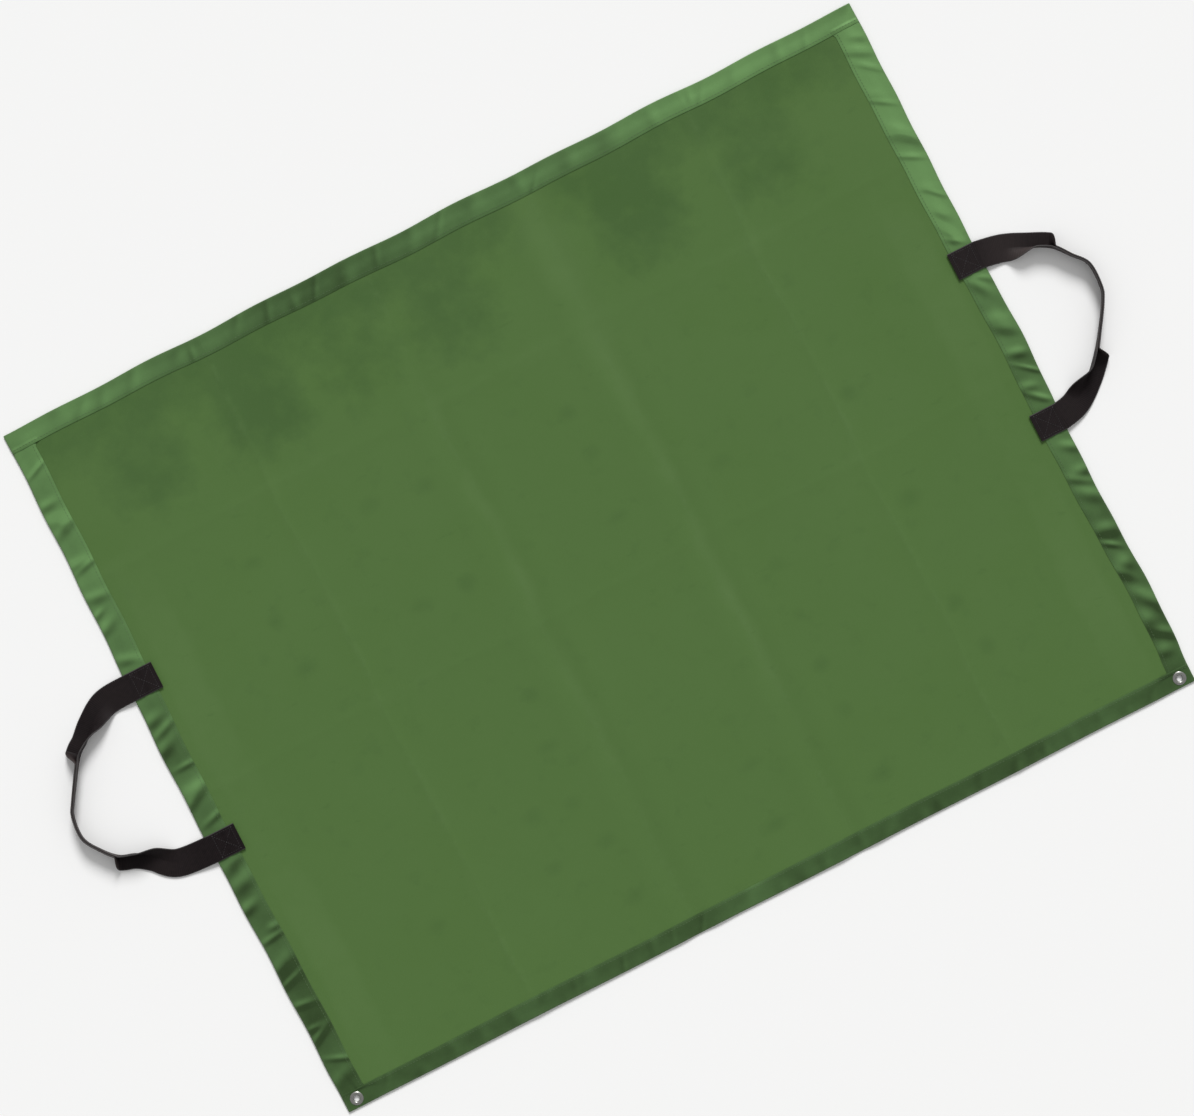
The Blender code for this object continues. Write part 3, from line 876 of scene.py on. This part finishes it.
def make_hem(name, side, run):
    """One stretch of hem, from its turned edge to its sewn inner edge."""
    width = hem_width(side, run)[:, None]
    turn = turned_in(0, 1)[None, :] * np.ones_like(width)
    share = np.linspace(0, 1, HEM_COLUMNS + 1)[None, 1:]
    inwards = np.concatenate([turn, TURN + share * (width - TURN)], axis=1)
    along = run[:, None] * np.ones_like(inwards)
    x, y = hem_place(side, along, inwards)
    edge = np.maximum(edge_mark(x, y), 0.25 * ramp(share_in(side, along, inwards), 0.97, 1.0))
    # Painted sheen on the hem, plus painted highlight and shade on the puckers' flanks.
    painted_sheen_level = painted_sheen(x, y) + PUCKER_PAINTED_SHADING[side] * folds(side, x, y, along, inwards)[1]
    return closed_cloth(
        name,
        hem_points(side, along, inwards, 0),
        hem_points(side, along, inwards, CLOTH),
        np.stack([x, y], axis=-1),
        satin,
        {"painted_sheen": painted_sheen_level, "edge": edge},
    )


def ride_wing(piece, side):
    """A piece that is fixed to the outer panel of one side."""
    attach(piece, "wing_" + side + "_outer")


for length in LENGTHS:
    length.hems = []
    for side in ("back", "front"):
        hem = make_hem(side + "_hem_" + length.name, side, along_x(length, HEM_STEP))
        for eyelet in EYELETS:
            if side == "front" and length.low < eyelet.x < length.high:
                punch(hem, eyelet, BARREL + HOLE_CLEAR)
        length.bend(hem, "hem_cloth", side + "_hem")
        length.hems.append(hem)

for side, edge in (("left", LEFT), ("right", RIGHT)):
    low = FRONT + float(hem_width("front", edge)) - TUCK
    high = BACK - float(hem_width("back", edge)) + TUCK
    side_hem = make_hem("side_hem_" + side, side, steps(low, high, SIDE_HEM_STEP))
    ride_wing(side_hem, side)
    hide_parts("side_hem_" + side)


# ----------------------------------------------------- eyelets
# Two nickel-plated brass eyelets clamp the front corners for a peg or a tie: a domed
# flange and barrel on top, and a washer let into the ground sheet underneath.
BORE = 0.0032
RING_SIDES = 48
RING_SHARP = math.radians(40)
NICKEL = (0.40, 0.40, 0.38, 1)
NICKEL_DULL = (0.25, 0.25, 0.235, 1)
TARNISH = (0.12, 0.11, 0.09, 1)

nickel_plate, tree, shader = new_finish("nickel_plate")
place = add_node(tree, "ShaderNodeTexCoord", {}).outputs["Object"]
dull = spread(cloudy(place, 700.0, 4.0), 0.35, 0.7)
tarnished = spread(cloudy(place, 1900.0, 2.0), 0.62, 0.74)
fill(tree, shader, {
    "Base Color": mixed(tarnished, mixed(dull, NICKEL, NICKEL_DULL), TARNISH),
    "Roughness": spread(dull, 0.0, 1.0, 0.26, 0.46),
    "Normal": bumped(dull, 0.3, 0.00003),
    "Metallic": 1.0,
})


def turned_ring(name, profile, centre):
    """A ring turned round an upright axis from a closed (radius, height) profile."""
    angle = np.linspace(0, 2 * math.pi, RING_SIDES, endpoint=False)
    radius, height = np.array(profile).T
    x = centre.x + radius[None, :] * np.cos(angle)[:, None]
    y = centre.y + radius[None, :] * np.sin(angle)[:, None]
    points = np.stack([x, y, np.tile(height, (RING_SIDES, 1))], axis=-1)
    index = np.arange(points.shape[0] * points.shape[1]).reshape(points.shape[:2])
    after = np.roll(index, -1, axis=0)
    faces = np.stack([index, after, np.roll(after, -1, axis=1), np.roll(index, -1, axis=1)], -1)
    return new_piece(name, points, faces, nickel_plate, RING_SHARP)


eyelet_profile = [
    (FLANGE, HEM_TOP + 0.00005), (FLANGE, HEM_TOP + 0.00035), (FLANGE - 0.0003, 0.00245),
    (FLANGE - 0.0009, 0.00268), (FLANGE - 0.0018, 0.00276), (FLANGE - 0.0027, 0.00268),
    (BARREL - 0.0001, 0.0024), (BORE + 0.0002, 0.00205), (BORE, 0.0016), (BORE, 0.0001),
    (BARREL, 0.0001), (BARREL, HEM_TOP + 0.00005),
]
washer_profile = [
    (FLANGE, 0.0004), (FLANGE, 0.00015), (FLANGE - 0.0002, 0.0),
    (BARREL + 0.0006, 0.0), (BARREL + 0.0003, 0.0002), (BARREL + 0.0003, 0.0004),
]
for side, centre in zip(("left", "right"), EYELETS):
    eyelet_ring = turned_ring("eyelet_ring_" + side, eyelet_profile, centre)
    washer_ring = turned_ring("washer_ring_" + side, washer_profile, centre)
    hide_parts("eyelet_" + side)
    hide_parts("eyelet_washer_" + side)
    for ring in (eyelet_ring, washer_ring):
        ride_wing(ring, side)


# ----------------------------------------------------- handles
# One length of 30 mm black webbing for each handle. Its ends are sewn flat on the side hem.
# The free loop stands up on edge: its inner half turns up along each arm, and the outer
# half closes on it at the shoulder to make a folded grip.
WEB = strap_high.z - strap_low.z
WEB_SEWN = strap_high.x - LEFT
HANDLE_Y = sum(STRAP_Y) / 2
HANDLE_HALF = (STRAP_Y[1] - STRAP_Y[0]) / 2
DESCENT = 0.034
FOLD_IN_END = 0.80
SHOULDER_SHARE = 0.16
GRIP_LEAN = math.radians(9)  # the closed grip leans in towards the sheet
FOLD_BEND = 0.00145
POINTS_BETWEEN = 12  # stations between two places of a route, at a shoulder, when sewn
SHOULDER_POINTS = 17
SEWN_POINTS = 15
STRAP_REST = 0.00015  # room under the webbing on the hem
LEFT_ROUTE = [
    (0.0, 1.0), (0.0325, 0.98), (0.055, 0.835), (0.070, 0.69), (0.084, 0.565),
    (0.109, 0.18), (0.117, 0.02), (0.1185, -0.245), (0.107, -0.45), (0.093, -0.60),
    (0.076, -0.67), (0.061, -0.78), (0.041, -0.96), (0.0, -1.0),
]
LEFT_SHOULDERS = (4, 9)
LEFT_FOLD_IN = 0.18  # share of an arm's run where its inner half starts to turn
RIGHT_ROUTE = [
    (0.0, 1.0), (0.026, 0.945), (0.050, 0.835), (0.072, 0.715),
    (0.0865, 0.54), (0.0995, 0.36), (0.100, 0.075), (0.094, -0.09), (0.077, -0.36),
    (0.064, -0.54), (0.0455, -0.75), (0.022, -0.94), (0.0, -1.0),
]
RIGHT_SHOULDERS = (3, 9)
RIGHT_FOLD_IN = 0.32
WEB_RIB = 0.0017  # spacing of the ribs across the webbing
WEB_THREADS = 760.0
WEB_BLACK = (0.0055, 0.0032, 0.0037, 1)
WEB_FUZZ = (0.0110, 0.0068, 0.0076, 1)
WEB_FADE_AND_HIGHLIGHT = (0.068, 0.054, 0.052, 1)
WEB_EDGE_HIGHLIGHT = (0.062, 0.058, 0.058, 1)

webbing, tree, shader = new_finish("black_webbing")
place = flat_place(tree)
axes = add_node(tree, "ShaderNodeSeparateXYZ", {0: place})
threads = weave_node(place, WEB_THREADS)
rib_turn = times(axes.outputs[0], 2 * math.pi / WEB_RIB)
rib = sums("MULTIPLY_ADD", sums("SINE", rib_turn), 0.5, 0.5)
from_middle = sums("ABSOLUTE", axes.outputs[1])
selvedge = spread(from_middle, STRAP_HALF - 0.0012, STRAP_HALF - 0.0002)
fuzz = spread(cloudy(place, 260.0, 4.0, 0.65), 0.35, 0.75)
tone = toned(mixed(fuzz, WEB_BLACK, WEB_FUZZ), spread(rib, 0.0, 1.0, 0.62, 1.3))
# Painted highlight with a slight fade: this mark lightens the webbing towards a grey.
tone = mixed(mark_value(tree, "fade_and_highlight"), tone, WEB_FADE_AND_HIGHLIGHT)
# Painted highlight: both selvedges are painted grey, where the upright grip's edges catch the light.
edge_highlight = times(selvedge, spread(cloudy(place, 90.0), 0.3, 0.6, 0.55, 1.0))
fill(tree, shader, {
    "Base Color": mixed(edge_highlight, tone, WEB_EDGE_HIGHLIGHT),
    "Roughness": spread(fuzz, 0.0, 1.0, 0.58, 0.74),
    "Normal": bumped(sums("MULTIPLY_ADD", threads["Height"], 0.6, rib), 0.8, 0.00015),
    "Specular IOR Level": 0.14,
})


def route_points(route, positions):
    """Places on the smooth curve through a route, at fractional indexes."""
    points = np.array(route)
    index = np.minimum(positions.astype(int), len(route) - 2)
    t = (positions - index)[:, None]
    before, here, there, after = (
        points[np.clip(index + k, 0, len(route) - 1)] for k in (-1, 0, 1, 2)
    )
    return 0.5 * (
        2 * here
        + (there - before) * t
        + (2 * before - 5 * here + 4 * there - after) * t**2
        + (3 * here - 3 * there + after - before) * t**3
    )


class Strap:
    """The run of one handle, from one sewn end round the loop to the other."""

    def __init__(self, side, route, shoulders, fold_in):
        self.edge = RIGHT if side == "right" else LEFT
        self.out = 1 if side == "right" else -1
        last = len(route) - 1
        first, second = shoulders
        scaled = [(out, share * HANDLE_HALF) for out, share in route]
        near = [np.linspace(s - 0.2, s + 0.2, SHOULDER_POINTS) for s in shoulders]
        evenly = np.linspace(0, last, POINTS_BETWEEN * last + 1)
        loop_at = np.unique(np.round(np.concatenate([evenly, *near]), 5))
        loop = route_points(scaled, loop_at)
        sewn = np.linspace(-WEB_SEWN, 0, SEWN_POINTS + 1)[:-1]
        start = np.stack([sewn, np.full_like(sewn, HANDLE_HALF)], axis=1)
        finish = np.stack([sewn[::-1], np.full_like(sewn, -HANDLE_HALF)], axis=1)
        self.spine = np.concatenate([start, loop, finish])
        at = np.concatenate([np.zeros(len(sewn)), loop_at, np.full(len(sewn), last)])
        tangent = np.gradient(self.spine, axis=0)
        tangent = tangent / np.linalg.norm(tangent, axis=1)[:, None]
        self.outwards = np.stack([-tangent[:, 1], tangent[:, 0]], axis=1)
        pace = np.linalg.norm(np.diff(self.spine, axis=0), axis=1)
        self.length = np.concatenate([[0.0], np.cumsum(pace)])
        arm = np.maximum(np.maximum((first - at) / first, (at - second) / (last - second)), 0)
        self.inner_turn = ramp(1 - arm, fold_in, FOLD_IN_END)
        self.outer_turn = ramp(np.minimum(at - first, second - at), -SHOULDER_SHARE, SHOULDER_SHARE)
        grip = np.clip((at - first) / (second - first), 0, 1)
        self.lean = GRIP_LEAN * np.sin(math.pi * grip) ** 0.5
        self.at = at

    def fade_and_highlight(self, across):
        """A slight fade along the webbing, and painted highlight on the grips' rims and the right
        loop's back arm.
        """
        at = self.at[:, None] * np.ones_like(across)[None, :]
        inner = ramp(-across, 0.0, 0.006)[None, :]
        # Painted highlight on the right loop's back arm, most on its inner half, which tilts up to
        # the light.
        most = 0.16 * hump(at, 1.4, 1.2) + 0.5 * inner * hump(at, 2.1, 0.7)
        slight = 0.04 + 0.04 * np.sin(at * 2.3)
        # Painted highlight on the grips' rims, which stand up into the light.
        rim = ramp(np.abs(across), STRAP_HALF - 0.010, STRAP_HALF - 0.003)[None, :]
        grip_rim_highlight = rim * self.outer_turn[:, None]
        return slight + grip_rim_highlight + (most if self.out > 0 else 0)

    def surface(self, across, face):
        """Points across every station: across runs from the inner selvedge to the outer.

        face is 1 for the upper face, -1 for the lower one and 0 for the middle.
        """
        inner = across[None, :] < 0
        angle = np.where(inner, self.inner_turn[:, None], self.outer_turn[:, None])
        angle = angle * (math.pi / 2 + np.where(inner, -1, 1) * self.lean[:, None])
        run = np.abs(across)[None, :]
        bend = np.minimum(run, FOLD_BEND)
        slope = np.maximum(angle, 1e-6) / FOLD_BEND
        flat_run = run - bend
        aside = np.sin(slope * bend) / slope + flat_run * np.cos(angle)
        up = (1 - np.cos(slope * bend)) / slope + flat_run * np.sin(angle)
        turned = slope * bend
        side = np.sign(across)[None, :]
        past = np.clip((run - (STRAP_HALF - WEB / 2)) / (WEB / 2), 0, 1)
        half = face * WEB / 2 * np.sqrt(1 - past**2)
        aside = side * (aside - half * np.sin(turned) * np.abs(side))
        up = up + half * np.cos(turned)
        place = self.spine[:, None, :] + aside[..., None] * self.outwards[:, None, :]
        x = self.edge + self.out * place[..., 0]
        y = HANDLE_Y + place[..., 1]
        return np.stack([x, y, WEB / 2 + self.base(place[..., 0], x, y) + up], axis=-1)

    def base(self, out, x, y):
        """Height of what the webbing lies on: the hem, and past the edge the floor."""
        inside = np.maximum(-out, 0)
        on_liner = ramp(inside, MARGIN - 0.007, MARGIN - 0.0003)
        on_hem = HEM_TOP + STRAP_REST + HEM_STEP_UP * on_liner
        held = lift(np.clip(x, LEFT, RIGHT), y)
        spine_out = np.maximum(self.spine[:, 0], 0)[:, None]
        return (on_hem + held) * (1 - ramp(spine_out, 0, DESCENT))


fold_columns = np.array([0.0, 0.0004, 0.0008, 0.0012, FOLD_BEND])
wide_columns = np.array([0.003, 0.005, 0.007, 0.009, 0.011, 0.013])
rim_columns = STRAP_HALF - WEB / 2 * (1 - np.sin(np.linspace(0, math.pi / 2, 5)))
half_columns = np.concatenate([fold_columns, wide_columns, rim_columns])
ACROSS = np.concatenate([-half_columns[:0:-1], half_columns])

straps = {
    "left": Strap("left", LEFT_ROUTE, LEFT_SHOULDERS, LEFT_FOLD_IN),
    "right": Strap("right", RIGHT_ROUTE, RIGHT_SHOULDERS, RIGHT_FOLD_IN),
}
for side, strap in straps.items():
    flat = np.stack(np.meshgrid(strap.length, ACROSS, indexing="ij"), axis=-1)
    handle = closed_cloth(
        "handle_webbing_" + side,
        strap.surface(ACROSS, 1),
        strap.surface(ACROSS, -1),
        flat,
        webbing,
        {"fade_and_highlight": strap.fade_and_highlight(ACROSS)},
    )
    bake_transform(handle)
    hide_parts("carry_loop_" + side, *STRAP_ENDS[side])


# ---------------------------------------------------- stitches
# Lockstitch in green bonded thread holds the inner edge of every hem, right through to
# the underside. Black thread sews each webbing end in a crossed box, and closes the grip.
STITCH_SPACING = 0.0035
STITCH_LONG = 0.0029
THREAD = 0.00024  # radius of the thread
STRAP_STITCH_SPACING = 0.0027
STITCH_SHORTEST = 0.88  # of the set length, drawn for each stitch
STITCH_LONGEST = 1.08
STITCH_SEED = 4
GREEN_THREAD = ((0.05, 0.09, 0.035, 1), (0.10, 0.17, 0.07, 1))
BLACK_THREAD = ((0.012, 0.010, 0.011, 1), (0.035, 0.032, 0.034, 1))
SEAM_STEP = 0.002
SEAM_END = 0.004  # bare cloth at a seam's end, and where two lengths meet
SEAM_MEET = 0.0005
SEAM_UNDER = 0.00005
SEAM_IN = 0.003
BOX_IN = 0.0028
GRIP_SEAM_IN = 0.0035

sewing = bpy.data.node_groups.new("stitch_row", "GeometryNodeTree")
sewing.interface.new_socket("Seam", in_out="INPUT", socket_type="NodeSocketGeometry")
sizes = {"Stitch spacing": STITCH_SPACING, "Stitch length": STITCH_LONG, "Thread radius": THREAD}
for label, value in sizes.items():
    socket = sewing.interface.new_socket(label, in_out="INPUT", socket_type="NodeSocketFloat")
    socket.default_value = value
sewing.interface.new_socket("Thread", in_out="INPUT", socket_type="NodeSocketMaterial")
sewing.interface.new_socket("Stitches", in_out="OUTPUT", socket_type="NodeSocketGeometry")
given = sewing.nodes.new("NodeGroupInput").outputs
seam_curve = add_node(sewing, "GeometryNodeMeshToCurve", {"Mesh": given["Seam"]}).outputs[0]
spaced = {"Curve": seam_curve, "Length": given["Stitch spacing"]}
spots = add_node(sewing, "GeometryNodeCurveToPoints", spaced, mode="LENGTH").outputs
onward = {"Vector": spots["Tangent"]}
aim = add_node(sewing, "FunctionNodeAlignRotationToVector", onward, axis="X").outputs[0]
half_long = times(given["Stitch length"], 0.5)
limits = {"Min": STITCH_SHORTEST, "Max": STITCH_LONGEST, "Seed": STITCH_SEED}
uneven = add_node(sewing, "FunctionNodeRandomValue", limits, data_type="FLOAT")
uneven_value = [output for output in uneven.outputs if output.enabled][0]
thin = given["Thread radius"]
radii = {0: times(half_long, uneven_value), 1: thin, 2: thin}
bead_size = add_node(sewing, "ShaderNodeCombineXYZ", radii).outputs[0]
rounds = {"Segments": 6, "Rings": 5, "Radius": 1.0}
bead = add_node(sewing, "GeometryNodeMeshUVSphere", rounds).outputs["Mesh"]
laid_on = {"Points": spots["Points"], "Instance": bead, "Rotation": aim, "Scale": bead_size}
beads = add_node(sewing, "GeometryNodeInstanceOnPoints", laid_on).outputs[0]
smooth = add_node(sewing, "GeometryNodeSetShadeSmooth", {0: beads}).outputs[0]
real = add_node(sewing, "GeometryNodeRealizeInstances", {0: smooth}).outputs[0]
dyed = {"Geometry": real, "Material": given["Thread"]}
threaded = add_node(sewing, "GeometryNodeSetMaterial", dyed).outputs[0]
sewing.links.new(threaded, sewing.nodes.new("NodeGroupOutput").inputs[0])


def thread_finish(name, deep, bright):
    """Bonded thread: a little shine, and a tone that changes from stitch to stitch."""
    material, tree, shader = new_finish(name)
    place = add_node(tree, "ShaderNodeTexCoord", {}).outputs["Object"]
    twist = cloudy(place, 900.0, 2.0)
    fill(tree, shader, {
        "Base Color": mixed(spread(twist, 0.35, 0.65), deep, bright),
        "Roughness": spread(twist, 0.3, 0.7, 0.4, 0.6),
    })
    return material


green_thread = thread_finish("green_thread", *GREEN_THREAD)
black_thread = thread_finish("black_thread", *BLACK_THREAD)


def sewn(name, seams, thread, spacing=STITCH_SPACING):
    """Rows of stitches along seams, each a list of points, as one plain mesh."""
    points = np.concatenate(seams)
    ends = np.cumsum([len(seam) for seam in seams])
    edges = [(n, n + 1) for n in range(len(points) - 1) if n + 1 not in ends]
    mesh = bpy.data.meshes.new(name)
    mesh.from_pydata(points.tolist(), edges, [])
    guide = new_object(name + "_seam", mesh)
    stitch = guide.modifiers.new("stitch row", "NODES")
    stitch.node_group = sewing
    values = {
        "Stitch spacing": spacing,
        "Stitch length": STITCH_LONG * spacing / STITCH_SPACING,
        "Thread radius": THREAD,
        "Thread": thread,
    }
    for item in sewing.interface.items_tree:
        if item.name in values:
            stitch[item.identifier] = values[item.name]
    graph = bpy.context.evaluated_depsgraph_get()
    row = new_object(name, bpy.data.meshes.new_from_object(guide.evaluated_get(graph)))
    row.data.name = name
    bpy.data.objects.remove(guide, do_unlink=True)
    return row


def hem_seams(side, run):
    """The seam near a hem's inner edge, on top and underneath."""
    inwards = hem_width(side, run) - SEAM_IN
    top = hem_points(side, run, inwards, 0)
    x, y = hem_place(side, run, inwards)
    return [top, laid(x, y, np.full_like(x, SEAM_UNDER))]


for length in LENGTHS:
    low = length.low + (SEAM_END if length.low == LEFT else SEAM_MEET)
    high = length.high - (SEAM_END if length.high == RIGHT else SEAM_MEET)
    run = steps(low, high, SEAM_STEP)
    seams = hem_seams("back", run) + hem_seams("front", run)
    length.stitches = sewn("hem_stitches_" + length.name, seams, green_thread)
    length.bend(length.stitches, "hem_cloth")

for side in ("left", "right"):
    run = steps(FRONT + FRONT_HEM + 0.001, BACK - BACK_HEM - 0.001, SEAM_STEP)
    side_stitches = sewn("side_hem_stitches_" + side, hem_seams(side, run), green_thread)
    ride_wing(side_stitches, side)

for side, strap in straps.items():
    out = strap.spine[:, 0]
    in_box = (out <= -BOX_IN + 1e-6) & (out >= -WEB_SEWN + BOX_IN - 1e-6)
    first_half = np.arange(len(out)) < len(out) / 2
    reach = STRAP_HALF - BOX_IN
    seams = []
    for end in (np.flatnonzero(in_box & first_half), np.flatnonzero(in_box & ~first_half)):
        order = np.arange(len(end))
        rows = strap.surface(np.array([-reach, reach]), 1)
        lines = strap.surface(np.linspace(-reach, reach, len(end)), 1)
        seams += [rows[end, 0], rows[end, 1], lines[end[0]], lines[end[-1]]]
        seams += [lines[end, order], lines[end, order[::-1]]]
    box_stitches = sewn("strap_stitches_" + side, seams, black_thread, STRAP_STITCH_SPACING)
    ride_wing(box_stitches, side)
    grip = np.flatnonzero(strap.outer_turn > 0.999)[2:-2]
    rows = strap.surface(np.array([-STRAP_HALF + GRIP_SEAM_IN, STRAP_HALF - GRIP_SEAM_IN]), -1)
    seams = [rows[grip, 0], rows[grip, 1]]
    grip_stitches = sewn("grip_stitches_" + side, seams, black_thread, STRAP_STITCH_SPACING)
    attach(grip_stitches, "handle_" + side)
